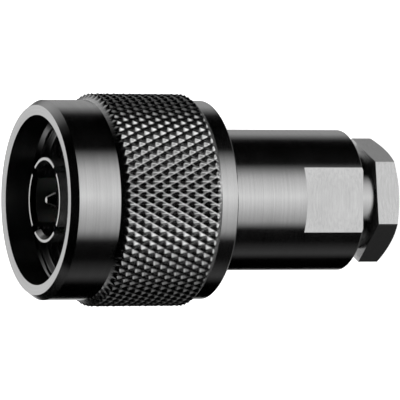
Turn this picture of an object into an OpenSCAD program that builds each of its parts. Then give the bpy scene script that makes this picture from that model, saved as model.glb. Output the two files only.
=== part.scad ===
// Coaxial plug, type N, clamp pattern for a 5 mm cable, in millimetres.
// It stands on the hexagon of its clamp nut: the axis is Z and the mating end points up.
// Both screw threads are left plain: a tapped hole is drawn at the crest of its thread
// where nothing turns in it, and thread on thread is drawn as a running fit.

/* [Coupling nut] */
// Length of the nut over both end faces
nut_l = 17; // [16:0.1:19]
// Wall between the plain mouth and the collars in front of and behind the knurl
nose_wall = 1.45; // [1.2:0.05:1.8]
// How far the knurl's crests stand out over the collars, on the radius
knurl_rise = 0.65; // [0.5:0.05:0.9]
// Depth of the knurl's grooves
knurl_depth = 0.3; // [0.15:0.05:0.4]
// Number of diamonds round the nut
knurl_teeth = 72; // [48:2:80]
// Length of one diamond along the axis
knurl_pitch = 1.65; // [1.4:0.05:2.2]
// Plain collar between the mouth and the knurl
front_collar_l = 4.9; // [4:0.1:6]
// Plain collar behind the knurl
rear_collar_l = 1.7; // [1.2:0.1:2.2]
// Width of the chamfer on the nose, measured on the radius
nose_chamfer_w = 0.5; // [0.2:0.05:0.6]
// Length of the chamfer on the nose
nose_chamfer_l = 0.7; // [0.3:0.05:1.2]
// Depth of the plain mouth in front of the thread
mouth_l = 2.7; // [1.5:0.1:4]
// Step from the plain mouth down to the crests of the coupling thread, on the radius
mouth_step = 0.7; // [0.6:0.05:0.9]
// Length of the coupling thread with its lead chamfer
coupling_thread_l = 8.3; // [7:0.1:8.6]
// Thickness of the wall that closes the nut round the body
nut_wall_l = 4.7; // [4:0.1:4.8]
// Distance from the nut's rear face to the middle of its snap ring groove
nut_groove_setback = 2.1; // [1.6:0.1:2.6]

/* [Body] */
// Wall of the body round the clamp nut's thread
body_wall = 2.3; // [2:0.05:2.5]
// Depth of the two wrench flats, measured from the body's side
flat_depth = 0.76; // [0.4:0.02:1.1]
// Length of the wrench flats
flats_l = 6.2; // [5:0.1:7.5]
// Depth of the outer contact's seat
front_bore_l = 2; // [1.5:0.1:2.5]
// Width of the step that the braid clamp seats on
web_lip = 0.6; // [0.4:0.05:0.8]
// Length of the rear insulator's bore
web_l = 4; // [3.5:0.1:5]
// Length of the conical seat in front of the braid clamp
seat_l = 0.6; // [0.4:0.05:0.8]
// How far the tapped hole runs on in front of the tightened clamp nut
tapped_spare = 0.25; // [0.1:0.05:0.6]
// Distance from the body's front face to the middle of its snap ring groove
ring_setback = 2.9; // [2.5:0.1:3.3]

/* [Snap ring] */
// Thickness of the ring along the axis
ring_t = 1; // [0.8:0.05:1.2]
// Radial width of the ring
ring_w = 1.4; // [1.2:0.05:1.6]
// How deep the ring sits in the body
ring_bite = 0.65; // [0.5:0.05:0.75]
// Width of the gap in the ring
ring_gap = 3; // [1:0.5:5]

/* [Outer contact] */
// Bore of the slotted sleeve
contact_bore_d = 7; // [6.9:0.05:7.1]
// Wall of the sleeve at its lip
contact_wall = 0.6; // [0.5:0.05:0.7]
// Reach of the sleeve in front of the body
contact_reach = 11.1; // [10.4:0.1:11.6]
// Length of the lip that touches the mating socket
lip_l = 1.2; // [0.8:0.1:2]
// Width of the lead chamfer in the mouth of the lip
lip_lead_w = 0.3; // [0.15:0.05:0.35]
// Length of the lead chamfer in the mouth of the lip
lip_lead_l = 0.5; // [0.3:0.05:0.8]
// How much slimmer the fingers are behind the lip, on the radius
finger_relief = 0.12; // [0.05:0.01:0.2]
// Number of slots across the sleeve, each cutting both walls
slot_cuts = 2; // [1:1:3]
// Width of a slot
slot_w = 0.9; // [0.5:0.05:1.1]
// Length of a slot
slot_l = 6.5; // [5:0.1:8]
// How far the root that carries the front gasket stands out from the lip, on the radius
root_step = 0.8; // [0.6:0.05:1]
// Length of the root in front of the body
root_l = 2.6; // [2.4:0.1:2.9]
// Wall of the sleeve's end that is pressed into the body
press_wall = 0.7; // [0.5:0.05:0.8]
// Width of the step in the sleeve's bore that stops the front insulator
stop_w = 0.3; // [0.2:0.05:0.4]
// Distance from the body's front face to the insulator's stop
insulator_stop = 1.4; // [1:0.1:1.8]

/* [Front gasket] */
// How far the gasket lies in from the body's side
gasket_setback = 0.1; // [0:0.05:0.3]
// Thickness of the gasket
front_gasket_t = 1.6; // [1.2:0.1:2]

/* [Centre contact] */
// Diameter of the pin
pin_d = 1.65; // [1.6:0.01:1.7]
// Length of the pin with its nose
pin_l = 5.3; // [4.8:0.1:5.8]
// How far the pin's tip lies behind the sleeve's lip
pin_recess = 0.2; // [0:0.05:0.6]
// Length of the pin's tapered nose
pin_nose_l = 0.8; // [0.5:0.1:1.2]
// Diameter of the pin's end face
pin_tip_d = 0.6; // [0.4:0.05:0.9]
// Diameter of the contact behind the pin
pin_root_d = 3.04; // [2.9:0.02:3.2]
// Diameter of the collar that the insulators hold
contact_collar_d = 4.2; // [3.8:0.1:4.6]
// Thickness of the collar that the insulators hold
contact_collar_t = 0.8; // [0.5:0.1:1.1]
// Diameter of the soldering cup
cup_d = 2.6; // [2.4:0.1:2.8]
// Bore of the soldering cup
cup_bore_d = 1.1; // [0.9:0.1:1.4]
// Depth of the soldering cup
cup_l = 2.6; // [2:0.1:2.8]
// Diameter of the solder hole in the side of the cup
solder_hole_d = 0.6; // [0.4:0.1:0.9]

/* [Cable clamp] */
// Diameter of the cable's jacket
cable_d = 5; // [4.6:0.1:5.2]
// Wall of the cable gasket, and of the washer and the clamp that squeeze it
gasket_wall = 1.36; // [1.2:0.02:1.5]
// Diameter of the cable's dielectric
dielectric_d = 2.95; // [2.8:0.05:3.2]
// Depth of the recess that the dielectric butts in
dielectric_l = 0.6; // [0.3:0.1:0.9]
// Length of the braid clamp's cylindrical rim
clamp_rim_l = 1.75; // [1.4:0.05:2.1]
// Height of the ring wedge behind the rim
wedge_l = 1.4; // [1:0.1:1.8]
// Width of the wedge's edge
wedge_edge_w = 0.2; // [0.1:0.05:0.3]
// Length of the rubber cable gasket
cable_gasket_l = 4.8; // [4.4:0.1:5.2]
// Thickness of the pressure washer
washer_t = 0.8; // [0.6:0.1:1]

/* [Clamp nut] */
// Distance across the hexagon
hex_af = 10.5; // [10:0.1:11]
// Length of the hexagon
hex_l = 2.4; // [2:0.1:3]
// Length of the chamfer on the hexagon's rear corners
hex_chamfer_l = 0.4; // [0.2:0.05:0.6]
// How far the hexagon is turned from the body's flats
hex_turn = 7.4; // [0:0.1:60]
// Length of the shank in front of the hexagon
shank_l = 7.4; // [7:0.1:7.8]
// Gap between the hexagon and the body when the clamp is tight
hex_gap = 1.85; // [1.5:0.05:2.4]
// How far the round shoulder in that gap stands out over the thread, on the radius
shoulder_rise = 0.25; // [0.15:0.05:0.4]
// Space left between the shoulder and the body when the clamp is tight
shoulder_gap = 0.15; // [0.05:0.05:0.3]
// Depth of the groove that the thread runs out into
runout_depth = 0.6; // [0.5:0.05:0.9]
// Length of the groove that the thread runs out into
runout_l = 1; // [0.8:0.1:1.5]
// Step from the bore round the cable gasket up to the clamp nut's thread, on the radius
thread_step = 0.4; // [0.3:0.05:0.5]

/* [Fits] */
// Clearance round the cable's jacket
jacket_play = 0.2; // [0.1:0.05:0.3]
// Gap that lets the body's front end pass through the coupling thread
thread_pass = 0.6; // [0.5:0.05:0.7]
// Clearance on the radius of a piece that slides into its bore
slide_fit = 0.04; // [0.02:0.01:0.06]
// Clearance on the radius of a piece that turns in its bore
turn_fit = 0.08; // [0.03:0.01:0.1]
// Clearance beside and outside the snap ring in the coupling nut
ring_play = 0.1; // [0.05:0.01:0.15]
// Chamfer that breaks a fine edge
fine_break = 0.05; // [0.02:0.01:0.1]
// Chamfer that breaks a turned edge
edge_break = 0.15; // [0.05:0.01:0.2]

/* [Hidden] */
$fn = 96;

// Heights, from the clamp nut's rear face upwards through the stack that it tightens
shank_z = hex_l + shank_l;
washer_z = shank_z + washer_t;
rim_z = washer_z + cable_gasket_l;
web_z = rim_z + clamp_rim_l + seat_l;
insulator_z = web_z + web_l;
body_front_z = insulator_z + front_bore_l;
body_rear_z = hex_l + hex_gap;
shoulder_z = body_rear_z - shoulder_gap;
stop_z = body_front_z + insulator_stop;
lip_z = body_front_z + contact_reach;
pin_tip_z = lip_z - pin_recess;
ring_z = body_front_z - ring_setback;
nut_rear_z = ring_z - nut_groove_setback;
nut_front_z = nut_rear_z + nut_l;

// Diameters, from the cable outwards
cable_bore_d = cable_d + 2*jacket_play;
stack_d = cable_bore_d + 2*gasket_wall;
clamp_bore_d = stack_d + 2*slide_fit;
web_bore_d = clamp_bore_d - 2*web_lip;
clamp_thread_d = clamp_bore_d + 2*thread_step;
shoulder_d = clamp_thread_d + 2*shoulder_rise;
runout_d = clamp_thread_d - 2*runout_depth;
body_d = clamp_thread_d + 2*body_wall;
flats_af = body_d - 2*flat_depth;
nut_bore_d = body_d + 2*turn_fit;
coupling_thread_d = body_d + 2*thread_pass;
mouth_d = coupling_thread_d + 2*mouth_step;
collar_d = mouth_d + 2*nose_wall;
knurl_d = collar_d + 2*knurl_rise;

// Diameters of the slotted sleeve and the gasket round it
contact_d = contact_bore_d + 2*contact_wall;
root_d = contact_d + 2*root_step;
insulator_seat_d = contact_bore_d + 2*stop_w;
front_bore_d = insulator_seat_d + 2*press_wall;
front_gasket_d = body_d - 2*gasket_setback;

// Radii of the snap ring and of the wedge's edge
ring_inner_r = body_d/2 - ring_bite;
ring_outer_r = ring_inner_r + ring_w;
wedge_r = (stack_d + cable_bore_d)/4;
overcut = 1;

// A ring of points whose radius changes from one point to the next
function ring_points(even_r, odd_r, z, count) = [
  for (i = [0:count - 1])
    let (r = i % 2 == 0 ? even_r : odd_r, a = 360*i/count)
      [r*cos(a), r*sin(a), z]
];

// Diamond knurl: rows of crests and groove crossings, staggered by half a diamond,
// that run out at both ends into a 45 degree chamfer. Its foot is let into the blank.
module knurl_band(foot_r, low_z, high_z) {
  crest_r = knurl_d/2;
  root_r = crest_r - knurl_depth;
  let_in = 0.25;
  core_w = 0.4;
  count = 2*knurl_teeth;
  low_crest_z = low_z + crest_r - foot_r;
  high_crest_z = high_z - crest_r + foot_r;
  rows = round(2*(high_crest_z - low_crest_z)/knurl_pitch);
  row_l = (high_crest_z - low_crest_z)/rows;
  outline = concat(
    [
      [foot_r - core_w, foot_r - core_w, low_z - let_in],
      [foot_r - let_in, foot_r - let_in, low_z - let_in],
      [root_r, root_r, low_crest_z - knurl_depth]
    ],
    [
      for (j = [0:rows])
        let (z = low_crest_z + j*row_l)
          j % 2 == 0 ? [crest_r, root_r, z] : [root_r, crest_r, z]
    ],
    [
      [root_r, root_r, high_crest_z + knurl_depth],
      [foot_r - let_in, foot_r - let_in, high_z + let_in],
      [foot_r - core_w, foot_r - core_w, high_z + let_in]
    ]
  );
  loops = len(outline);
  points = [for (o = outline) each ring_points(o[0], o[1], o[2], count)];
  function at(k, i) = (k % loops)*count + i % count;
  faces = [
    for (k = [0:loops - 1])
      for (i = [0:count - 1])
        let (a = at(k, i), b = at(k, i + 1), c = at(k + 1, i + 1), d = at(k + 1, i))
          each (i + k) % 2 == 1 ? [[a, d, b], [b, d, c]] : [[a, c, b], [a, d, c]]
  ];
  polyhedron(points, faces);
}

module coupling_nut() {
  collar_r = collar_d/2;
  bore_r = nut_bore_d/2;
  mouth_r = mouth_d/2;
  thread_r = coupling_thread_d/2;
  groove_r = ring_outer_r + ring_play;
  groove_w = ring_t + 2*ring_play;
  mouth_z = nut_front_z - mouth_l;
  lead_z = mouth_z - (mouth_r - thread_r);
  thread_z = mouth_z - coupling_thread_l;
  wall_z = nut_rear_z + nut_wall_l;
  color("silver") {
    rotate_extrude() polygon([
      [bore_r + edge_break, nut_rear_z],
      [collar_r - edge_break, nut_rear_z],
      [collar_r, nut_rear_z + edge_break],
      [collar_r, nut_front_z - nose_chamfer_l],
      [collar_r - nose_chamfer_w, nut_front_z],
      [mouth_r + edge_break, nut_front_z],
      [mouth_r, nut_front_z - edge_break],
      [mouth_r, mouth_z],
      [thread_r, lead_z],
      [thread_r, thread_z],
      [mouth_r, thread_z],
      [mouth_r, wall_z],
      [bore_r, wall_z],
      [bore_r, ring_z + groove_w/2],
      [groove_r, ring_z + groove_w/2],
      [groove_r, ring_z - groove_w/2],
      [bore_r, ring_z - groove_w/2],
      [bore_r, nut_rear_z + edge_break]
    ]);
    knurl_band(collar_r, nut_rear_z + rear_collar_l, nut_front_z - front_collar_l);
  }
}

module connector_body() {
  body_r = body_d/2;
  groove_r = ring_inner_r - slide_fit;
  groove_w = ring_t + 2*slide_fit;
  tapped_r = clamp_thread_d/2 + turn_fit;
  tapped_z = shank_z + tapped_spare;
  color("silver") difference() {
    rotate_extrude() polygon([
      [tapped_r + edge_break, body_rear_z],
      [body_r - edge_break, body_rear_z],
      [body_r, body_rear_z + edge_break],
      [body_r, ring_z - groove_w/2],
      [groove_r, ring_z - groove_w/2],
      [groove_r, ring_z + groove_w/2],
      [body_r, ring_z + groove_w/2],
      [body_r, body_front_z - edge_break],
      [body_r - edge_break, body_front_z],
      [front_bore_d/2, body_front_z],
      [front_bore_d/2, insulator_z],
      [web_bore_d/2, insulator_z],
      [web_bore_d/2, web_z],
      [clamp_bore_d/2, web_z - seat_l],
      [clamp_bore_d/2, tapped_z],
      [tapped_r, tapped_z],
      [tapped_r, body_rear_z + edge_break]
    ]);
    for (side = [-1, 1])
      translate([-body_d, side*(flats_af + body_d)/2 - body_d/2, body_rear_z - overcut])
        cube([2*body_d, body_d, flats_l + overcut]);
  }
}

module snap_ring() {
  color("dimgray") difference() {
    translate([0, 0, ring_z - ring_t/2])
      cylinder(r = ring_outer_r, h = ring_t);
    translate([0, 0, ring_z - ring_t])
      cylinder(r = ring_inner_r, h = 2*ring_t);
    translate([0, -ring_gap/2, ring_z - ring_t])
      cube([body_d, ring_gap, 2*ring_t]);
  }
}

module outer_contact() {
  lip_r = contact_d/2;
  bore_r = contact_bore_d/2;
  finger_r = lip_r - finger_relief;
  root_z = body_front_z + root_l;
  color("silver") difference() {
    rotate_extrude() polygon([
      [bore_r, stop_z],
      [insulator_seat_d/2, stop_z],
      [insulator_seat_d/2, insulator_z],
      [front_bore_d/2, insulator_z],
      [front_bore_d/2, body_front_z],
      [root_d/2, body_front_z],
      [root_d/2, root_z - edge_break],
      [root_d/2 - edge_break, root_z],
      [finger_r, root_z],
      [finger_r, lip_z - lip_l - finger_relief],
      [lip_r, lip_z - lip_l],
      [lip_r, lip_z - fine_break],
      [lip_r - fine_break, lip_z],
      [bore_r + lip_lead_w, lip_z],
      [bore_r, lip_z - lip_lead_l]
    ]);
    for (i = [0:slot_cuts - 1])
      rotate([0, 0, 45 + 180*i/slot_cuts])
        translate([-contact_d, -slot_w/2, lip_z - slot_l])
          cube([2*contact_d, slot_w, slot_l + overcut]);
  }
}

module front_gasket() {
  inner_r = root_d/2 + slide_fit;
  outer_r = front_gasket_d/2;
  top_z = body_front_z + front_gasket_t;
  color("dimgray") rotate_extrude() polygon([
    [inner_r, body_front_z],
    [outer_r, body_front_z],
    [outer_r, top_z - 2*edge_break],
    [outer_r - 2*edge_break, top_z],
    [inner_r + edge_break, top_z],
    [inner_r, top_z - edge_break]
  ]);
}

module front_insulator() {
  outer_r = insulator_seat_d/2 - slide_fit;
  bore_r = pin_root_d/2 + slide_fit;
  pocket_r = contact_collar_d/2 + slide_fit;
  pocket_z = insulator_z + contact_collar_t;
  color("white") rotate_extrude() polygon([
    [pocket_r, insulator_z],
    [outer_r, insulator_z],
    [outer_r, stop_z],
    [bore_r, stop_z],
    [bore_r, pocket_z],
    [pocket_r, pocket_z]
  ]);
}

module centre_contact() {
  root_r = pin_root_d/2;
  root_z = pin_tip_z - pin_l;
  collar_z = insulator_z + contact_collar_t;
  cup_z = web_z + dielectric_l;
  color("silver") difference() {
    rotate_extrude() polygon([
      [0, cup_z],
      [cup_d/2, cup_z],
      [cup_d/2, insulator_z],
      [contact_collar_d/2, insulator_z],
      [contact_collar_d/2, collar_z],
      [root_r, collar_z],
      [root_r, root_z - edge_break],
      [root_r - edge_break, root_z],
      [pin_d/2, root_z],
      [pin_d/2, pin_tip_z - pin_nose_l],
      [pin_tip_d/2, pin_tip_z],
      [0, pin_tip_z]
    ]);
    translate([0, 0, cup_z - overcut])
      cylinder(d = cup_bore_d, h = cup_l + overcut);
    translate([0, 0, cup_z + cup_l - solder_hole_d])
      rotate([-90, 0, 0])
        cylinder(d = solder_hole_d, h = cup_d, $fn = 32);
  }
}

module rear_insulator() {
  outer_r = web_bore_d/2 - slide_fit;
  bore_r = cup_d/2 + slide_fit;
  recess_r = dielectric_d/2 + 2*slide_fit;
  color("white") rotate_extrude() polygon([
    [recess_r, web_z],
    [outer_r, web_z],
    [outer_r, insulator_z],
    [bore_r, insulator_z],
    [bore_r, web_z + dielectric_l],
    [recess_r, web_z + dielectric_l]
  ]);
}

// Half section of the wedge that grips the cable gasket, grown by a clearance
module wedge_section(grow) {
  half_w = (stack_d - cable_bore_d)/4;
  polygon([
    [wedge_r - half_w - grow, rim_z + grow],
    [wedge_r - half_w - grow, rim_z],
    [wedge_r - wedge_edge_w/2 - grow, rim_z - wedge_l - grow],
    [wedge_r + wedge_edge_w/2 + grow, rim_z - wedge_l - grow],
    [wedge_r + half_w + grow, rim_z],
    [wedge_r + half_w + grow, rim_z + grow]
  ]);
}

module braid_clamp() {
  rim_r = stack_d/2;
  bore_r = cable_bore_d/2;
  nose_r = rim_r - web_lip;
  color("silver") rotate_extrude() {
    polygon([
      [bore_r, rim_z],
      [rim_r, rim_z],
      [rim_r, web_z - seat_l],
      [nose_r, web_z],
      [bore_r, web_z]
    ]);
    wedge_section(0);
  }
}

module cable_gasket() {
  color("dimgray") rotate_extrude() difference() {
    translate([cable_bore_d/2, washer_z])
      square([(stack_d - cable_bore_d)/2, cable_gasket_l]);
    wedge_section(slide_fit);
  }
}

module pressure_washer() {
  color("silver") rotate_extrude()
    translate([cable_bore_d/2, shank_z])
      square([(stack_d - cable_bore_d)/2, washer_t]);
}

module clamp_nut() {
  bore_r = cable_bore_d/2;
  corner_r = hex_af/2/cos(30);
  thread_r = clamp_thread_d/2;
  thread_z = shoulder_z + runout_l;
  color("silver") {
    rotate([0, 0, hex_turn]) difference() {
      intersection() {
        cylinder(r = corner_r, h = hex_l, $fn = 6);
        rotate_extrude() polygon([
          [0, 0],
          [hex_af/2 - edge_break, 0],
          [corner_r, hex_chamfer_l],
          [corner_r, hex_l],
          [0, hex_l]
        ]);
      }
      translate([0, 0, -overcut])
        cylinder(r = bore_r, h = hex_l + 2*overcut);
      translate([0, 0, -overcut])
        cylinder(r1 = bore_r + 2*edge_break + overcut, r2 = bore_r, h = 2*edge_break + overcut);
    }
    rotate_extrude() polygon([
      [bore_r, hex_l],
      [shoulder_d/2, hex_l],
      [shoulder_d/2, shoulder_z - edge_break],
      [shoulder_d/2 - edge_break, shoulder_z],
      [runout_d/2, shoulder_z],
      [runout_d/2, thread_z],
      [thread_r - edge_break, thread_z],
      [thread_r, thread_z + edge_break],
      [thread_r, shank_z - 2*edge_break],
      [thread_r - 2*edge_break, shank_z],
      [bore_r, shank_z]
    ]);
  }
}

coupling_nut();
connector_body();
snap_ring();
outer_contact();
front_gasket();
front_insulator();
centre_contact();
rear_insulator();
braid_clamp();
cable_gasket();
pressure_washer();
clamp_nut();
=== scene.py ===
"""Looks of a type N coaxial plug: turned and knurled brass under a satin nickel plate.

Lengths are written in millimetres and turned to metres by mm(). The plug's axis is Z and its
mating end points up. Heights are measured from the clamp nut's rear face, as in the frame.
"""
import math

import bmesh
import bpy
from mathutils import Matrix, Vector


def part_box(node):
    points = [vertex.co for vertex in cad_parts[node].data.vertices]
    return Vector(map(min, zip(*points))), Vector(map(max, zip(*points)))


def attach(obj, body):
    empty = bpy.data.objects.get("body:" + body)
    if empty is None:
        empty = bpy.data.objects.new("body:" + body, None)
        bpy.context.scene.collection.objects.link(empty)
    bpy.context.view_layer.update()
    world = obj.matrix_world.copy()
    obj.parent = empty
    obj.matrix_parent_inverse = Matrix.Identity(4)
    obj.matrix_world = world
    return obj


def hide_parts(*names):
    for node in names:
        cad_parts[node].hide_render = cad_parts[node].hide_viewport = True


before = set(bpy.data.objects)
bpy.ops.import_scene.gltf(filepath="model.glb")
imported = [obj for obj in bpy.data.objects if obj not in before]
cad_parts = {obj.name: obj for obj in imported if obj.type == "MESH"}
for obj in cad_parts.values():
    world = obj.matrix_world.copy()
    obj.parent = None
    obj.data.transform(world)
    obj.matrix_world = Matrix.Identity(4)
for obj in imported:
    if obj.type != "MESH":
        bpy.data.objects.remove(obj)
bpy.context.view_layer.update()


def mm(*values):
    """Millimetres to metres, one number or several."""
    metres = tuple(value / 1000 for value in values)
    return metres[0] if len(metres) == 1 else metres


def span(node):
    """Radius, foot and top of a CAD node in millimetres."""
    low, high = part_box(node)
    return high.y * 1000, low.z * 1000, high.z * 1000


# Sizes that the frame gives
knurl_r, nut_rear_z, nut_front_z = span("coupling_nut")
body_r, body_rear_z, body_front_z = span("connector_body")
contact_root_r, contact_rear_z, lip_z = span("outer_contact")
collar_contact_r, cup_rear_z, pin_tip_z = span("centre_contact")
clamp_nut_top_z = span("clamp_nut")[2]

# Coupling nut
collar_r = 9.55
front_collar_l = 4.9
rear_collar_l = 1.7
nose_chamfer_w = 0.5
nose_chamfer_l = 0.7
mouth_r = 8.1
mouth_l = 2.7
mouth_ease_w = 0.55
mouth_ease_l = 0.1
nut_wall_l = 4.7
nut_bore_r = 6.88
nut_groove_r = 7.63
nut_groove_w = 1.2
nut_groove_z = nut_rear_z + 2.1

# Knurl: rows counts the steps from its first row of crests to its last, and flat is the share of
# a facet's slope that is flat at its crest, and again at its groove. The edges of each cell are
# halved as often as cell cuts says, and its edges show as sharp over the soft angle
knurl_teeth = 72
knurl_rows = 11
knurl_depth = 0.26
knurl_flat = 0.07
knurl_cell_cuts = 2
knurl_soft_angle = 65

# Threads: the depth, and the ends of the slope from crest to root, as shares of the pitch
inch = 25.4
inside_thread_depth = 0.54
outside_thread_depth = 0.61
thread_slope_start = 0.08
thread_slope_end = 0.4
coupling_thread_r = 7.4
coupling_thread_l = 8.3
coupling_pitch = inch / 24
coupling_root_r = coupling_thread_r + inside_thread_depth * coupling_pitch
coupling_thread_steps = 160
clamp_thread_r = 4.5
clamp_pitch = 0.75
clamp_root_r = clamp_thread_r - outside_thread_depth * clamp_pitch
clamp_thread_steps = 90

# Body
flats_af = 12.08
flats_l = 6.2
body_bore_r = 4.58
body_groove_r = 6.11
body_groove_w = 1.08
body_groove_z = body_front_z - 2.9
bore_cone_l = 1.0

# Outer contact
lip_r = 4.1
contact_bore_r = 3.5
finger_relief = 0.12
lip_l = 1.2
lip_lead_w = 0.3
lip_lead_l = 0.5
slot_w = 0.9
slot_l = 6.5
slot_turns = (45, 135)
root_l = 2.6
insulator_seat_r = 3.8
insulator_stop = 1.4
front_bore_r = 4.5
front_bore_l = 2.0

# Centre contact
pin_r = 0.825
pin_l = 5.3
pin_nose_l = 0.8
pin_tip_r = 0.3
shoulder_r = 1.52
contact_collar_t = 0.8
cup_r = 1.3
cup_bore_r = 0.55
cup_l = 2.6

# Clamp nut
hex_af = 10.5
hex_l = 2.4
hex_chamfer_l = 0.4
hex_turn = 7.4
clamp_shoulder_z = 4.1
clamp_shoulder_r = 4.75
runout_r = 3.9
runout_l = 1.0
cable_bore_r = 2.7
cable_lead = 0.3

# Small edges left by the tool, and the angle over which an edge is one
edge_break = 0.15
fine_break = 0.05
break_angle = 35

# Meshes: sides round the axis, the angle over which an edge shows as sharp, distances under which
# points are one, and how far a cutter runs past the metal
body_sides = 256
contact_sides = 192
pin_sides = 96
clamp_nut_sides = 240
sharp_angle = 12
weld = 0.001
relief_weld = 0.0005
overrun = 1.0

# Finish by face: how near to a flat's plane a face lies and how squarely it faces along Y to be on
# the flat, and how little it faces along Z to be a side of the hexagon
flat_tolerance = 0.01
flat_facing = 0.99
side_facing = 0.2

# Photograph: the point of the axis in its middle, its scale there and the camera's place
picture_px = 400
px_per_mm = 10.4
aim_z = nut_front_z - 17.0
camera_distance = 600.0
camera_elevation = math.radians(23.0)

# Stage, with the softbox's power in watts
softbox_place = (-40, -60, 600)
softbox_size = 900
softbox_power = 3.0
floor_reach = 3000.0


def add(tree, kind, values=None, **settings):
    """Adds a node with its settings. Sockets take numbers or other nodes' outputs."""
    node = tree.nodes.new(kind)
    for name, value in settings.items():
        setattr(node, name, value)
    for name, value in (values or {}).items():
        if isinstance(value, bpy.types.NodeSocket):
            tree.links.new(value, node.inputs[name])
        else:
            node.inputs[name].default_value = value
    return node


def calc(tree, operation, *values):
    """One step of arithmetic on numbers or sockets, as the socket that holds its result."""
    node = add(tree, "ShaderNodeMath", dict(enumerate(values)), operation=operation)
    return node.outputs[0]


def srgb(code):
    """A colour written as an sRGB hex value, as linear RGBA."""
    parts = [int(code[i:i + 2], 16) / 255 for i in (1, 3, 5)]
    return tuple(c / 12.92 if c <= 0.04045 else ((c + 0.055) / 1.055) ** 2.4 for c in parts) + (1.0,)


# Meshes

def shade(mesh):
    """Shades a mesh as round, but for edges over the sharp angle."""
    mesh.shade_smooth()
    mesh.set_sharp_from_angle(angle=math.radians(sharp_angle))


def piece_from(name, bm):
    """Closes a mesh, with its seams merged and its faces outwards, and makes it an object."""
    bmesh.ops.remove_doubles(bm, verts=bm.verts, dist=mm(weld))
    bmesh.ops.recalc_face_normals(bm, faces=bm.faces)
    mesh = bpy.data.meshes.new(name)
    bm.to_mesh(mesh)
    bm.free()
    shade(mesh)
    piece = bpy.data.objects.new(name, mesh)
    bpy.context.scene.collection.objects.link(piece)
    return piece


def ring(bm, radius, z, count):
    """A ring of vertices round the axis. The radius and height may be functions of the angle."""
    made = []
    for i in range(count):
        angle = 2 * math.pi * i / count
        r = radius(angle) if callable(radius) else radius
        height = z(angle) if callable(z) else z
        made.append(bm.verts.new(mm(r * math.cos(angle), r * math.sin(angle), height)))
    return made


def skin(bm, outline, count):
    """Quads between one ring and the next, for each (radius, height) of an outline."""
    rings = [ring(bm, radius, z, count) for radius, z in outline]
    for lower, upper in zip(rings, rings[1:]):
        for i in range(count):
            j = (i + 1) % count
            bm.faces.new((lower[i], lower[j], upper[j], upper[i]))
    return rings


def lathe(bm, outline, count):
    """A closed solid of revolution. Points on the axis are merged into a pole later."""
    skin(bm, outline + outline[:1], count)


def annulus(bm, inner, outer):
    """A flat ring between two loops whose vertex counts divide: each inner side takes a fan."""
    share = len(outer) // len(inner)
    for i, vertex in enumerate(inner):
        following = inner[(i + 1) % len(inner)]
        arc = [outer[(i * share + k) % len(outer)] for k in range(share + 1)]
        bm.faces.new([vertex] + arc + [following])


def block(bm, low, high, turn):
    """A box from corner to corner in millimetres, turned about the axis."""
    middle = mm(*[(a + b) / 2 for a, b in zip(low, high)])
    size = mm(*[b - a for a, b in zip(low, high)])
    place = Matrix.Rotation(turn, 4, "Z") @ Matrix.Translation(middle) @ Matrix.Diagonal((*size, 1))
    bmesh.ops.create_cube(bm, size=1, matrix=place)


def settle(piece):
    """Turns a piece's modifiers into plain mesh."""
    graph = bpy.context.evaluated_depsgraph_get()
    mesh = bpy.data.meshes.new_from_object(piece.evaluated_get(graph))
    piece.modifiers.clear()
    old = piece.data
    piece.data = mesh
    bpy.data.meshes.remove(old)
    mesh.name = piece.name
    shade(mesh)


def mill(piece, blocks):
    """Cuts boxes, each (low corner, high corner, turn), out of a turned piece."""
    bm = bmesh.new()
    for low, high, turn in blocks:
        block(bm, low, high, turn)
    cutter = piece_from("cutter", bm)
    cut = piece.modifiers.new("cut", "BOOLEAN")
    cut.object = cutter
    cut.operation = "DIFFERENCE"
    cut.solver = "EXACT"
    cut.use_self = True
    settle(piece)
    bpy.data.objects.remove(cutter)


def break_edges(piece):
    """Breaks the sharp edges by a small chamfer, as tumbling and plating leave them."""
    bevel = piece.modifiers.new("bevel", "BEVEL")
    bevel.width = mm(fine_break)
    bevel.segments = 1
    bevel.limit_method = "ANGLE"
    bevel.angle_limit = math.radians(break_angle)
    settle(piece)


def soften(piece, slot, angle):
    """Shades the faces of one material slot as round, but for edges over the angle."""
    bm = bmesh.new()
    bm.from_mesh(piece.data)
    for edge in bm.edges:
        if all(face.material_index == slot for face in edge.link_faces):
            edge.smooth = edge.calc_face_angle(0.0) < math.radians(angle)
    bm.to_mesh(piece.data)
    bm.free()


# Relief that follows a rule, made by Geometry Nodes

def relief_tree(name, numbers):
    """An empty tree that takes the named numbers and a material, and gives a mesh."""
    tree = bpy.data.node_groups.new(name, "GeometryNodeTree")
    tree.interface.new_socket("Mesh", in_out="OUTPUT", socket_type="NodeSocketGeometry")
    for label in numbers:
        tree.interface.new_socket(label, in_out="INPUT", socket_type="NodeSocketFloat")
    tree.interface.new_socket("Material", in_out="INPUT", socket_type="NodeSocketMaterial")
    return tree, add(tree, "NodeGroupInput").outputs


def relief_end(tree, mesh, material):
    """Merges the seam and gives the relief its material."""
    real = add(tree, "GeometryNodeRealizeInstances", {"Geometry": mesh}).outputs[0]
    welded = add(tree, "GeometryNodeMergeByDistance", {
        "Geometry": real, "Distance": mm(relief_weld),
    }).outputs[0]
    dressed = add(tree, "GeometryNodeSetMaterial", {
        "Geometry": welded, "Material": material,
    }).outputs[0]
    add(tree, "NodeGroupOutput", {"Mesh": dressed})


def wrapped(tree, grid, radius, angle, height):
    """Wraps a flat grid round the axis, from sockets for radius, angle and height."""
    place = add(tree, "ShaderNodeCombineXYZ", {
        "X": calc(tree, "MULTIPLY", radius, calc(tree, "COSINE", angle)),
        "Y": calc(tree, "MULTIPLY", radius, calc(tree, "SINE", angle)),
        "Z": height,
    }).outputs[0]
    return add(tree, "GeometryNodeSetPosition", {"Geometry": grid, "Position": place}).outputs[0]


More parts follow.
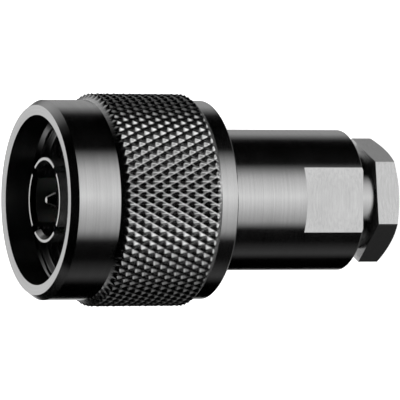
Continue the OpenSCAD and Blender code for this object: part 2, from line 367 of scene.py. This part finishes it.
def grid_place(tree, columns, rows):
    """A flat grid with one face to each unit, and sockets that count its columns and rows."""
    grid = add(tree, "GeometryNodeMeshGrid", {
        "Size X": columns, "Size Y": rows,
        "Vertices X": calc(tree, "ADD", columns, 1.0), "Vertices Y": calc(tree, "ADD", rows, 1.0),
    }).outputs["Mesh"]
    at = add(tree, "ShaderNodeSeparateXYZ", {0: add(tree, "GeometryNodeInputPosition").outputs[0]})
    column = calc(tree, "ADD", at.outputs["X"], calc(tree, "MULTIPLY", columns, 0.5))
    row = calc(tree, "ADD", at.outputs["Y"], calc(tree, "MULTIPLY", rows, 0.5))
    return grid, column, row


def knurl_tree():
    """Diamond knurl: two families of grooves cross at slants and leave pyramids, with a small
    flat on each crest and in each groove. Both ends run out into a chamfer. Low and High are
    the heights of the two ends, and the crests of the first and last row lie one chamfer in."""
    numbers = ("Crest Radius", "Depth", "Flat", "Collar Radius", "Low", "High", "Teeth", "Rows")
    tree, given = relief_tree("diamond_knurl", numbers)
    # Two columns of cells to a tooth, and one more line of cells at each end for the chamfer
    columns = calc(tree, "MULTIPLY", given["Teeth"], 2.0)
    lines = calc(tree, "ADD", given["Rows"], 2.0)
    grid, column, line = grid_place(tree, columns, lines)
    row = calc(tree, "SUBTRACT", line, 1.0)
    # Share of a cell that is too small to show
    hair = 0.01
    # Each cell is split along its groove, so that every facet of a pyramid stays flat
    index = add(tree, "GeometryNodeInputIndex").outputs[0]
    across = calc(tree, "FLOOR", calc(tree, "DIVIDE", index, lines))
    along = calc(tree, "FLOORED_MODULO", index, lines)
    even = calc(tree, "FLOORED_MODULO", calc(tree, "ADD", calc(tree, "ADD", across, along), 1.0), 2.0)
    half = add(tree, "GeometryNodeTriangulate", {
        "Mesh": grid, "Selection": even,
    }, quad_method="FIXED").outputs[0]
    split = add(tree, "GeometryNodeTriangulate", {
        "Mesh": half,
    }, quad_method="FIXED_ALTERNATE").outputs[0]
    fine = add(tree, "GeometryNodeSubdivideMesh", {
        "Mesh": split, "Level": knurl_cell_cuts,
    }).outputs[0]
    # Place of the nearest crest, and how far down its side a point lies
    u = calc(tree, "MULTIPLY", calc(tree, "ADD", column, row), 0.5)
    v = calc(tree, "MULTIPLY", calc(tree, "SUBTRACT", column, row), 0.5)
    crest_u = calc(tree, "ROUND", u)
    crest_v = calc(tree, "ROUND", v)
    crest_column = calc(tree, "ADD", crest_u, crest_v)
    crest_row = calc(tree, "SUBTRACT", crest_u, crest_v)
    side_u = calc(tree, "ABSOLUTE", calc(tree, "SUBTRACT", u, crest_u))
    side_v = calc(tree, "ABSOLUTE", calc(tree, "SUBTRACT", v, crest_v))
    down = calc(tree, "MULTIPLY", calc(tree, "MAXIMUM", side_u, side_v), 2.0)
    # The cuts nearest to crest and groove are drawn to the edges of the flats there
    nearest = 1 / 2 ** knurl_cell_cuts
    wave = calc(tree, "SINE", calc(tree, "MULTIPLY", down, 2 * math.pi))
    pull = calc(tree, "MULTIPLY", calc(tree, "SUBTRACT", nearest, given["Flat"]), wave)
    inner = calc(tree, "MULTIPLY", calc(tree, "GREATER_THAN", line, hair),
                 calc(tree, "LESS_THAN", line, calc(tree, "SUBTRACT", lines, hair)))
    shift = calc(tree, "MULTIPLY", inner, calc(tree, "DIVIDE", pull, calc(tree, "MAXIMUM", down, hair)))
    keep = calc(tree, "SUBTRACT", 1.0, shift)
    new_column = calc(tree, "ADD", crest_column, calc(
        tree, "MULTIPLY", keep, calc(tree, "SUBTRACT", column, crest_column)))
    new_row = calc(tree, "ADD", crest_row, calc(
        tree, "MULTIPLY", keep, calc(tree, "SUBTRACT", row, crest_row)))
    share = add(tree, "ShaderNodeMapRange", {
        "Value": calc(tree, "MULTIPLY", keep, down), "From Min": given["Flat"],
        "From Max": calc(tree, "SUBTRACT", 1.0, given["Flat"]), "To Min": 0.0, "To Max": 1.0,
    }).outputs[0]
    cut = calc(tree, "SUBTRACT", given["Crest Radius"], calc(tree, "MULTIPLY", share, given["Depth"]))
    angle = calc(tree, "MULTIPLY", calc(tree, "DIVIDE", new_column, columns), 2 * math.pi)
    rise = calc(tree, "SUBTRACT", given["Crest Radius"], given["Collar Radius"])
    first = calc(tree, "ADD", given["Low"], rise)
    last = calc(tree, "SUBTRACT", given["High"], rise)
    step = calc(tree, "DIVIDE", calc(tree, "SUBTRACT", last, first), given["Rows"])
    free_z = calc(tree, "ADD", first, calc(tree, "MULTIPLY", new_row, step))
    z = calc(tree, "MAXIMUM", given["Low"], calc(tree, "MINIMUM", given["High"], free_z))
    front = calc(tree, "ADD", given["Collar Radius"], calc(tree, "SUBTRACT", given["High"], z))
    rear = calc(tree, "ADD", given["Collar Radius"], calc(tree, "SUBTRACT", z, given["Low"]))
    radius = calc(tree, "MINIMUM", cut, calc(tree, "MINIMUM", front, rear))
    relief_end(tree, wrapped(tree, fine, radius, angle, z), given["Material"])
    return tree


def thread_tree():
    """Screw thread: one V groove that climbs a pitch for each turn, with flat crest and root.
    Side is 1 outside and -1 in a hole. Both ends run out into a 45 degree cone, down to the
    radius of that end."""
    numbers = ("Side", "Crest Radius", "Root Radius", "Low End Radius", "High End Radius", "Pitch",
               "Low", "High", "Around", "Along")
    tree, given = relief_tree("screw_thread", numbers)
    grid, column, row = grid_place(tree, given["Around"], given["Along"])
    turn = calc(tree, "DIVIDE", column, given["Around"])
    step = calc(tree, "DIVIDE", calc(tree, "SUBTRACT", given["High"], given["Low"]), given["Along"])
    z = calc(tree, "ADD", given["Low"], calc(tree, "MULTIPLY", row, step))
    along = calc(tree, "SUBTRACT", calc(tree, "DIVIDE", z, given["Pitch"]), turn)
    wave = calc(tree, "PINGPONG", along, 0.5)
    free = add(tree, "ShaderNodeMapRange", {
        "Value": wave, "From Min": thread_slope_start, "From Max": thread_slope_end,
        "To Min": given["Crest Radius"], "To Max": given["Root Radius"],
    }).outputs[0]
    # Out of the metal counts as up, so that one rule serves both sides
    up = calc(tree, "MULTIPLY", given["Side"], free)
    low_end = calc(tree, "ADD", calc(tree, "MULTIPLY", given["Side"], given["Low End Radius"]),
                   calc(tree, "SUBTRACT", z, given["Low"]))
    high_end = calc(tree, "ADD", calc(tree, "MULTIPLY", given["Side"], given["High End Radius"]),
                    calc(tree, "SUBTRACT", given["High"], z))
    cut = calc(tree, "MINIMUM", up, calc(tree, "MINIMUM", low_end, high_end))
    radius = calc(tree, "MULTIPLY", given["Side"], cut)
    angle = calc(tree, "MULTIPLY", turn, 2 * math.pi)
    relief_end(tree, wrapped(tree, grid, radius, angle, z), given["Material"])
    return tree


def relief(tree, values):
    """Runs a tree with its inputs set and returns the mesh."""
    holder = bpy.data.objects.new("relief", bpy.data.meshes.new("relief"))
    bpy.context.scene.collection.objects.link(holder)
    modifier = holder.modifiers.new("relief", "NODES")
    modifier.node_group = tree
    for item in tree.interface.items_tree:
        if item.in_out == "INPUT":
            modifier[item.identifier] = values[item.name]
    graph = bpy.context.evaluated_depsgraph_get()
    mesh = bpy.data.meshes.new_from_object(holder.evaluated_get(graph))
    bpy.data.objects.remove(holder)
    return mesh


# Materials

def principled(name, colour, metallic, roughness, **constants):
    """A material with a Principled shader whose constant values sit on its own sockets."""
    material = bpy.data.materials.new(name)
    material.use_nodes = True
    tree = material.node_tree
    tree.nodes.clear()
    shader = add(tree, "ShaderNodeBsdfPrincipled", {
        "Base Color": srgb(colour), "Metallic": metallic, "Roughness": roughness, **constants,
    })
    add(tree, "ShaderNodeOutputMaterial", {"Surface": shader.outputs[0]})
    return material, tree, shader


def axial_tangent(tree):
    """Runs from ring to ring across the turning marks, on sides and on faces alike."""
    geometry = add(tree, "ShaderNodeNewGeometry").outputs
    around = add(tree, "ShaderNodeVectorMath", {0: (0, 0, 1), 1: geometry["Position"]},
                 operation="CROSS_PRODUCT").outputs[0]
    across = add(tree, "ShaderNodeVectorMath", {0: geometry["Normal"], 1: around},
                 operation="CROSS_PRODUCT").outputs[0]
    return add(tree, "ShaderNodeVectorMath", {0: across}, operation="NORMALIZE").outputs[0]


def turning_place(tree, pitch):
    """Texture place that is the same all round the axis: radius and height over a tool's feed."""
    place = add(tree, "ShaderNodeTexCoord").outputs["Object"]
    parts = add(tree, "ShaderNodeSeparateXYZ", {0: place}).outputs
    square = calc(tree, "ADD", calc(tree, "POWER", parts["X"], 2.0),
                  calc(tree, "POWER", parts["Y"], 2.0))
    radius = calc(tree, "SQRT", square)
    scale = 1 / mm(pitch)
    return add(tree, "ShaderNodeCombineXYZ", {
        "X": calc(tree, "MULTIPLY", radius, scale), "Z": calc(tree, "MULTIPLY", parts["Z"], scale),
    }).outputs[0]


def turned_metal(name, colour, roughness, feed=0.09):
    """Metal off a lathe, plated or bare: fine rings round the axis stretch each reflection along
    it. The feed is drawn a little coarser than real, so that the rings show."""
    cloud_size = 2.2
    streak_width = 0.22
    streak_tone = 0.86
    ring_depth = 0.0016
    material, tree, shader = principled(name, colour, 1.0, roughness, Anisotropic=0.8)
    rings = add(tree, "ShaderNodeTexNoise", {
        "Vector": turning_place(tree, feed), "Scale": 1.0, "Detail": 2.0, "Roughness": 0.6,
    }).outputs["Fac"]
    place = add(tree, "ShaderNodeTexCoord").outputs["Object"]
    cloud = add(tree, "ShaderNodeTexNoise", {
        "Vector": place, "Scale": 1 / mm(cloud_size), "Detail": 3.0,
    }).outputs["Fac"]
    blend = calc(tree, "ADD", calc(tree, "MULTIPLY", cloud, 0.5), calc(tree, "MULTIPLY", rings, 0.5))
    tone = add(tree, "ShaderNodeMapRange", {
        "Value": blend, "From Min": 0.3, "From Max": 0.7,
        "To Min": roughness * 0.85, "To Max": roughness * 1.2,
    }).outputs[0]
    bands = add(tree, "ShaderNodeTexNoise", {
        "Vector": turning_place(tree, streak_width), "Scale": 1.0, "Detail": 3.0, "Roughness": 0.75,
    }).outputs["Fac"]
    streak = add(tree, "ShaderNodeMapRange", {
        "Value": bands, "From Min": 0.3, "From Max": 0.7, "To Min": 0.0, "To Max": 1.0,
    }).outputs[0]
    tint = add(tree, "ShaderNodeMix", {
        "Factor": streak, "A": [c * streak_tone for c in srgb(colour)[:3]] + [1.0], "B": srgb(colour),
    }, data_type="RGBA").outputs["Result"]
    bump = add(tree, "ShaderNodeBump", {
        "Height": rings, "Strength": 0.5, "Distance": mm(ring_depth),
    }).outputs[0]
    tree.links.new(tint, shader.inputs["Base Color"])
    tree.links.new(tone, shader.inputs["Roughness"])
    tree.links.new(bump, shader.inputs["Normal"])
    tree.links.new(axial_tangent(tree), shader.inputs["Tangent"])
    return material


def pressed_nickel(name, colour, roughness):
    """Nickel plate over rolled knurl facets: smooth, and darker in colour than the turned plate as
    painted shade among the grooves, with a faint orange peel that breaks up their reflections."""
    peel_size = 0.18
    material, tree, shader = principled(name, colour, 1.0, roughness)
    place = add(tree, "ShaderNodeTexCoord").outputs["Object"]
    peel = add(tree, "ShaderNodeTexNoise", {
        "Vector": place, "Scale": 1 / mm(peel_size), "Detail": 2.0,
    }).outputs["Fac"]
    tone = add(tree, "ShaderNodeMapRange", {
        "Value": peel, "From Min": 0.35, "From Max": 0.65,
        "To Min": roughness * 0.8, "To Max": roughness * 1.25,
    }).outputs[0]
    bump = add(tree, "ShaderNodeBump", {
        "Height": peel, "Strength": 0.6, "Distance": mm(0.02),
    }).outputs[0]
    tree.links.new(tone, shader.inputs["Roughness"])
    tree.links.new(bump, shader.inputs["Normal"])
    return material


def milled_nickel(name, colour, low_colour, roughness):
    """Nickel plate over a milled flat: a fine mottled grain from the cutter's sweep, between two
    colours."""
    grain_size = 0.3
    material, tree, shader = principled(name, colour, 1.0, roughness)
    place = add(tree, "ShaderNodeTexCoord").outputs["Object"]
    grain = add(tree, "ShaderNodeTexNoise", {
        "Vector": place, "Scale": 1 / mm(grain_size), "Detail": 4.0, "Roughness": 0.8,
        "Distortion": 0.4,
    }).outputs["Fac"]
    mottle = add(tree, "ShaderNodeMapRange", {
        "Value": grain, "From Min": 0.36, "From Max": 0.64, "To Min": 0.0, "To Max": 1.0,
    }).outputs[0]
    tint = add(tree, "ShaderNodeMix", {
        "Factor": mottle, "A": srgb(low_colour), "B": srgb(colour),
    }, data_type="RGBA").outputs["Result"]
    bump = add(tree, "ShaderNodeBump", {
        "Height": grain, "Strength": 0.35, "Distance": mm(0.01),
    }).outputs[0]
    tree.links.new(tint, shader.inputs["Base Color"])
    tree.links.new(bump, shader.inputs["Normal"])
    return material


def moulded_rubber():
    """Black silicone rubber, moulded: dull, with a fine even grain."""
    grain_size = 0.12
    material, tree, shader = principled("silicone_rubber", "#1C1C1C", 0.0, 0.62)
    place = add(tree, "ShaderNodeTexCoord").outputs["Object"]
    grain = add(tree, "ShaderNodeTexNoise", {
        "Vector": place, "Scale": 1 / mm(grain_size), "Detail": 3.0,
    }).outputs["Fac"]
    bump = add(tree, "ShaderNodeBump", {
        "Height": grain, "Strength": 0.5, "Distance": mm(0.01),
    }).outputs[0]
    tree.links.new(bump, shader.inputs["Normal"])
    return material


def turned_ptfe():
    """Turned PTFE: waxy white, slightly see-through, with faint tool rings."""
    feed = 0.1
    material, tree, shader = principled("ptfe", "#E9E8E4", 0.0, 0.42, **{
        "Subsurface Weight": 0.3, "Subsurface Scale": mm(0.6),
    })
    rings = add(tree, "ShaderNodeTexNoise", {
        "Vector": turning_place(tree, feed), "Scale": 1.0, "Detail": 2.0,
    }).outputs["Fac"]
    bump = add(tree, "ShaderNodeBump", {
        "Height": rings, "Strength": 0.4, "Distance": mm(0.004),
    }).outputs[0]
    tree.links.new(bump, shader.inputs["Normal"])
    return material


# Satin nickel on turned sides, in the knurl and on the milled flats of body and clamp nut
turned = turned_metal("turned_nickel_plate", "#CECECE", 0.2)
# The knurl's plate is the same nickel in a darker colour: painted shade for the hollows of its grooves
knurl_plate_painted_shade = pressed_nickel("knurl_nickel_painted_shade", "#9A9A9A", 0.2)
flat_nickel = milled_nickel("milled_nickel_plate", "#E0E0E0", "#B8B8B8", 0.26)
# Brighter plate on what carries the signal, off a finer feed
contact_plate = turned_metal("bright_contact_plate", "#D4D4D3", 0.18, feed=0.07)
pin_plate = turned_metal("silver_plated_pin", "#DAD9D7", 0.18, feed=0.06)
# Bare spring wire, brownish and duller
spring_bronze = turned_metal("spring_bronze", "#A8906A", 0.3)
rubber = moulded_rubber()
ptfe = turned_ptfe()


# Pieces

def dress(piece, node, body, slot, *materials):
    """Puts a finished piece on its body in place of the CAD node, with its materials. The first
    is its main one, and faces with a material index of 1 take the second."""
    piece.data.materials.clear()
    for material in materials:
        piece.data.materials.append(material)
    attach(piece, body)
    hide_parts(node)


def joined(bm, mesh):
    """Adds a relief's mesh to the one being made and returns its faces."""
    before = set(bm.faces)
    bm.from_mesh(mesh)
    bpy.data.meshes.remove(mesh)
    return [face for face in bm.faces if face not in before]


diamond_knurl = knurl_tree()
screw_thread = thread_tree()


def make_coupling_nut():
    """Knurled nut: the outer skin with its knurl, the bored inside with its thread, and the two
    end faces that join them."""
    knurl_low = nut_rear_z + rear_collar_l
    knurl_high = nut_front_z - front_collar_l
    mouth_z = nut_front_z - mouth_l
    thread_z = mouth_z - coupling_thread_l
    wall_z = nut_rear_z + nut_wall_l
    groove_low = nut_groove_z - nut_groove_w / 2
    groove_high = nut_groove_z + nut_groove_w / 2
    # As many sides outside as the knurl's cut cells have edges, and half as many inside
    outer_sides = 2 ** (knurl_cell_cuts + 1) * knurl_teeth
    inner_sides = outer_sides // 2
    bm = bmesh.new()
    knurl = joined(bm, relief(diamond_knurl, {
        "Crest Radius": mm(knurl_r), "Depth": mm(knurl_depth), "Flat": knurl_flat,
        "Collar Radius": mm(collar_r), "Low": mm(knurl_low), "High": mm(knurl_high),
        "Teeth": float(knurl_teeth), "Rows": float(knurl_rows), "Material": knurl_plate_painted_shade,
    }))
    for face in knurl:
        face.material_index = 1
    joined(bm, relief(screw_thread, {
        "Side": -1.0, "Crest Radius": mm(coupling_thread_r), "Root Radius": mm(coupling_root_r),
        "Low End Radius": mm(mouth_r), "High End Radius": mm(mouth_r), "Pitch": mm(coupling_pitch),
        "Low": mm(thread_z), "High": mm(mouth_z), "Around": float(inner_sides),
        "Along": float(coupling_thread_steps), "Material": turned,
    }))
    rear = skin(bm, [
        (collar_r - edge_break, nut_rear_z), (collar_r, nut_rear_z + edge_break), (collar_r, knurl_low),
    ], outer_sides)[0]
    front = skin(bm, [
        (collar_r, knurl_high), (collar_r, nut_front_z - nose_chamfer_l),
        (collar_r - nose_chamfer_w, nut_front_z),
    ], outer_sides)[-1]
    inner_rear = skin(bm, [
        (nut_bore_r + edge_break, nut_rear_z), (nut_bore_r, nut_rear_z + edge_break),
        (nut_bore_r, groove_low), (nut_groove_r, groove_low),
        (nut_groove_r, groove_high), (nut_bore_r, groove_high),
        (nut_bore_r, wall_z), (mouth_r, wall_z), (mouth_r, thread_z),
    ], inner_sides)
    inner_front = skin(bm, [
        (mouth_r, mouth_z), (mouth_r, nut_front_z - mouth_ease_l), (mouth_r + mouth_ease_w, nut_front_z),
    ], inner_sides)
    annulus(bm, inner_rear[0], rear)
    annulus(bm, inner_front[-1], front)
    piece = piece_from("knurled_coupling_nut", bm)
    soften(piece, 1, knurl_soft_angle)
    dress(piece, "coupling_nut", "coupling_nut", "nut_plating", turned, knurl_plate_painted_shade)


def make_body():
    """Turned body with two milled wrench flats."""
    front_bore_z = body_front_z - front_bore_l
    groove_low = body_groove_z - body_groove_w / 2
    groove_high = body_groove_z + body_groove_w / 2
    bm = bmesh.new()
    lathe(bm, [
        (body_bore_r, body_rear_z), (body_r - edge_break, body_rear_z),
        (body_r, body_rear_z + edge_break), (body_r, groove_low),
        (body_groove_r, groove_low), (body_groove_r, groove_high),
        (body_r, groove_high), (body_r, body_front_z - edge_break),
        (body_r - edge_break, body_front_z), (front_bore_r, body_front_z), (front_bore_r, front_bore_z),
        (insulator_seat_r, front_bore_z), (body_bore_r, front_bore_z - bore_cone_l),
    ], body_sides)
    piece = piece_from("turned_body", bm)
    reach = 2 * body_r
    low = (-reach, flats_af / 2, body_rear_z - overrun)
    high = (reach, reach, body_rear_z + flats_l)
    mill(piece, [(low, high, turn) for turn in (0.0, math.pi)])
    break_edges(piece)
    for face in piece.data.polygons:
        off_flat = abs(abs(face.center.y) - mm(flats_af / 2))
        on_flat = off_flat < mm(flat_tolerance) and abs(face.normal.y) > flat_facing
        face.material_index = 1 if on_flat else 0
    dress(piece, "connector_body", "connector_body", "body_plating", turned, flat_nickel)


def make_outer_contact():
    """Spring sleeve with a raised lip. Two cuts across it make four slots."""
    root_z = body_front_z + root_l
    finger_r = lip_r - finger_relief
    stop_z = body_front_z + insulator_stop
    bm = bmesh.new()
    lathe(bm, [
        (contact_bore_r, stop_z), (insulator_seat_r, stop_z), (insulator_seat_r, contact_rear_z),
        (front_bore_r, contact_rear_z), (front_bore_r, body_front_z), (contact_root_r, body_front_z),
        (contact_root_r, root_z - edge_break), (contact_root_r - edge_break, root_z),
        (finger_r, root_z), (finger_r, lip_z - lip_l - finger_relief), (lip_r, lip_z - lip_l),
        (lip_r, lip_z - fine_break), (lip_r - fine_break, lip_z), (contact_bore_r + lip_lead_w, lip_z),
        (contact_bore_r, lip_z - lip_lead_l),
    ], contact_sides)
    piece = piece_from("slotted_outer_contact", bm)
    low = (-2 * lip_r, -slot_w / 2, lip_z - slot_l)
    high = (2 * lip_r, slot_w / 2, lip_z + overrun)
    mill(piece, [(low, high, math.radians(turn)) for turn in slot_turns])
    dress(piece, "outer_contact", "connector_body", "contact_plating", contact_plate)


def make_centre_contact():
    """Pin with a tapered nose, its shoulder, collar and soldering cup."""
    shoulder_z = pin_tip_z - pin_l
    insulator_z = body_front_z - front_bore_l
    collar_z = insulator_z + contact_collar_t
    bm = bmesh.new()
    lathe(bm, [
        (0.0, cup_rear_z + cup_l), (cup_bore_r, cup_rear_z + cup_l), (cup_bore_r, cup_rear_z),
        (cup_r, cup_rear_z), (cup_r, insulator_z), (collar_contact_r, insulator_z),
        (collar_contact_r, collar_z), (shoulder_r, collar_z), (shoulder_r, shoulder_z - edge_break),
        (shoulder_r - edge_break, shoulder_z), (pin_r, shoulder_z), (pin_r, pin_tip_z - pin_nose_l),
        (pin_tip_r, pin_tip_z), (0.0, pin_tip_z),
    ], pin_sides)
    piece = piece_from("centre_pin", bm)
    break_edges(piece)
    dress(piece, "centre_contact", "connector_body", "pin_plating", pin_plate)


def make_clamp_nut():
    """Hexagon with chamfered rear corners, a round shoulder and a threaded shank. Its thread and
    the rest of its skin share their rims."""
    apothem = hex_af / 2
    corner_r = apothem / math.cos(math.pi / 6)
    turn = math.radians(hex_turn)
    thread_low = clamp_shoulder_z + runout_l
    slope = hex_chamfer_l / (corner_r - apothem + edge_break)

    def side(angle):
        """Distance of the hexagon's skin from the axis."""
        return apothem / math.cos((angle - turn) % (math.pi / 3) - math.pi / 6)

    def chamfer(angle):
        """Height that the rear chamfer reaches on the skin."""
        return (side(angle) - apothem + edge_break) * slope

    bm = bmesh.new()
    joined(bm, relief(screw_thread, {
        "Side": 1.0, "Crest Radius": mm(clamp_thread_r), "Root Radius": mm(clamp_root_r),
        "Low End Radius": mm(clamp_root_r), "High End Radius": mm(clamp_root_r),
        "Pitch": mm(clamp_pitch), "Low": mm(thread_low), "High": mm(clamp_nut_top_z),
        "Around": float(clamp_nut_sides), "Along": float(clamp_thread_steps), "Material": turned,
    }))
    skin(bm, [
        (clamp_root_r, thread_low), (runout_r, thread_low), (runout_r, clamp_shoulder_z),
        (clamp_shoulder_r - edge_break, clamp_shoulder_z),
        (clamp_shoulder_r, clamp_shoulder_z - edge_break), (clamp_shoulder_r, hex_l), (side, hex_l),
        (side, chamfer), (apothem - edge_break, 0.0), (cable_bore_r + cable_lead, 0.0),
        (cable_bore_r, cable_lead), (cable_bore_r, clamp_nut_top_z), (clamp_root_r, clamp_nut_top_z),
    ], clamp_nut_sides)
    piece = piece_from("hexagon_clamp_nut", bm)
    for face in piece.data.polygons:
        on_hexagon = face.center.z < mm(hex_l) and face.center.to_2d().length > mm(clamp_shoulder_r)
        on_side = on_hexagon and abs(face.normal.z) < side_facing
        face.material_index = 1 if on_side else 0
    dress(piece, "clamp_nut", "clamp_nut", "clamp_nut_plating", turned, flat_nickel)


make_coupling_nut()
make_body()
make_outer_contact()
make_centre_contact()
make_clamp_nut()

# The pieces inside keep their CAD shape and take their finish
for node, material in {
    "snap_ring": spring_bronze, "front_gasket": rubber, "front_insulator": ptfe,
    "rear_insulator": ptfe, "braid_clamp": turned, "cable_gasket": rubber,
    "pressure_washer": turned,
}.items():
    cad_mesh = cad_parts[node].data
    cad_mesh.materials.clear()
    cad_mesh.materials.append(material)


# Stage

def photo_camera():
    """Camera at the photograph's angle: it looks down at the mouth, rolled a quarter turn, so
    that the plug's axis lies level in the picture with the mouth on the left."""
    tilt = camera_elevation
    right = (0.0, -math.sin(tilt), -math.cos(tilt))
    up = (1.0, 0.0, 0.0)
    back = (0.0, -math.cos(tilt), math.sin(tilt))
    data = bpy.data.cameras.new("camera")
    data.lens = data.sensor_width * camera_distance * px_per_mm / picture_px
    data.clip_start = 0.05
    data.clip_end = 20.0
    camera = bpy.data.objects.new("camera", data)
    place = [mm(camera_distance) * c for c in back]
    place[2] += mm(aim_z)
    turn = Matrix((right, up, back)).transposed()
    camera.matrix_world = Matrix.Translation(place) @ turn.to_4x4()
    bpy.context.scene.collection.objects.link(camera)
    bpy.context.scene.camera = camera


def profile(tree, angle, stops):
    """Brightness by an angle: straight lines between stops of (degrees, brightness)."""
    low, high = stops[0][0], stops[-1][0]
    place = add(tree, "ShaderNodeMapRange", {
        "Value": angle, "From Min": math.radians(low), "From Max": math.radians(high),
    }).outputs[0]
    node = add(tree, "ShaderNodeValToRGB", {"Fac": place})
    elements = node.color_ramp.elements
    while len(elements) < len(stops):
        elements.new(position=1.0)
    for element, (degrees, brightness) in zip(elements, stops):
        element.position = (degrees - low) / (high - low)
        element.color = (brightness, brightness, brightness, 1.0)
    return node.outputs["Color"]


# Panels of the tent round the plug: brightness by azimuth, from the camera's side towards picture
# top, and a share of it by elevation, each as plain slopes between (degrees, value)
tent_panels = [
    # a low wall, brightest in front and behind, which the plug's turned sides mirror
    ([(-180, 0.9), (-165, 0.8), (-158, 0.0), (-112, 0.0), (-98, 0.07), (-72, 0.0), (-48, 0.0),
      (-35, 0.55), (5, 1.2), (35, 0.75), (60, 0.0), (116, 0.0), (137, 0.4), (180, 0.33)],
     [(-45, 0.0), (-36, 1.0), (-16, 1.0), (-10, 0.2), (-5, 0.0)]),
    # all below it, brightest in front and a little towards picture top, for the rearward facets
    # of the knurl
    ([(-180, 0.06), (-30, 0.26), (5, 0.65), (24, 1.8), (36, 1.7), (58, 0.2), (180, 0.06)],
     [(-45, 1.0), (-36, 0.0)]),
    # a level wall behind, for the nose and its chamfer
    ([(-180, 0.8), (-168, 0.8), (-156, 0.0), (98, 0.0), (165, 0.8), (180, 0.8)],
     [(-9, 0.0), (-4, 0.4), (9, 1.0), (27, 1.0), (33, 0.0)]),
    # the slope above that wall, for the lead and flanks of the coupling thread
    ([(-180, 0.8), (-125, 0.42), (-90, 0.0), (90, 0.0), (125, 0.2), (180, 0.8)],
     [(27, 0.0), (33, 1.0), (46, 0.2), (54, 0.0)]),
    # a small panel straight behind and above, for the eased inner edge of the mouth
    ([(-180, 0.5), (-164, 0.5), (-154, 0.0), (154, 0.0), (164, 0.5), (180, 0.5)],
     [(33, 0.0), (38, 1.0), (48, 1.0), (56, 0.0)]),
]


def studio_tent():
    """A dark tent with soft white panels, which lights the plug. The camera itself sees white
    paper."""
    world = bpy.data.worlds.new("studio")
    world.use_nodes = True
    bpy.context.scene.world = world
    tree = world.node_tree
    tree.nodes.clear()
    direction = add(tree, "ShaderNodeTexCoord").outputs["Generated"]
    way = add(tree, "ShaderNodeSeparateXYZ", {0: direction}).outputs
    azimuth = calc(tree, "ARCTAN2", way["X"], calc(tree, "MULTIPLY", way["Y"], -1.0))
    elevation = calc(tree, "ARCSINE", way["Z"])
    light = 0.0
    for round_about, upwards in tent_panels:
        panel = calc(tree, "MULTIPLY", profile(tree, azimuth, round_about),
                     profile(tree, elevation, upwards))
        light = calc(tree, "ADD", light, panel)
    tent = add(tree, "ShaderNodeBackground", {"Color": srgb("#FFFFFF"), "Strength": light}).outputs[0]
    paper = add(tree, "ShaderNodeBackground", {"Color": srgb("#FFFFFF"), "Strength": 1.0}).outputs[0]
    seen = add(tree, "ShaderNodeLightPath").outputs["Is Camera Ray"]
    mixed = add(tree, "ShaderNodeMixShader", {0: seen, 1: tent, 2: paper}).outputs[0]
    add(tree, "ShaderNodeOutputWorld", {"Surface": mixed})


def overhead_softbox():
    """A large square light above the plug, which its metal doesn't mirror. It fills the rubber
    and the insulators."""
    data = bpy.data.lights.new("overhead_softbox", "AREA")
    data.size = mm(softbox_size)
    data.energy = softbox_power
    lamp = bpy.data.objects.new("overhead_softbox", data)
    lamp.location = mm(*softbox_place)
    aim = Vector(mm(0, 0, aim_z)) - lamp.location
    lamp.rotation_euler = aim.to_track_quat("-Z", "Y").to_euler()
    lamp.visible_glossy = False
    bpy.context.scene.collection.objects.link(lamp)


def pale_floor():
    """Plain floor that shines white by itself. The plug's metal doesn't mirror it, as it sees
    the tent."""
    bm = bmesh.new()
    bmesh.ops.create_grid(bm, x_segments=1, y_segments=1, size=mm(floor_reach))
    floor = piece_from("floor", bm)
    paper = principled("pale_floor", "#F4F4F4", 0.0, 0.9, **{
        "Specular IOR Level": 0.0, "Emission Color": srgb("#FFFFFF"), "Emission Strength": 1.0,
    })[0]
    floor.data.materials.append(paper)
    floor.visible_glossy = False
    floor.visible_shadow = False


photo_camera()
studio_tent()
overhead_softbox()
pale_floor()
bpy.context.scene.view_settings.view_transform = "Standard"
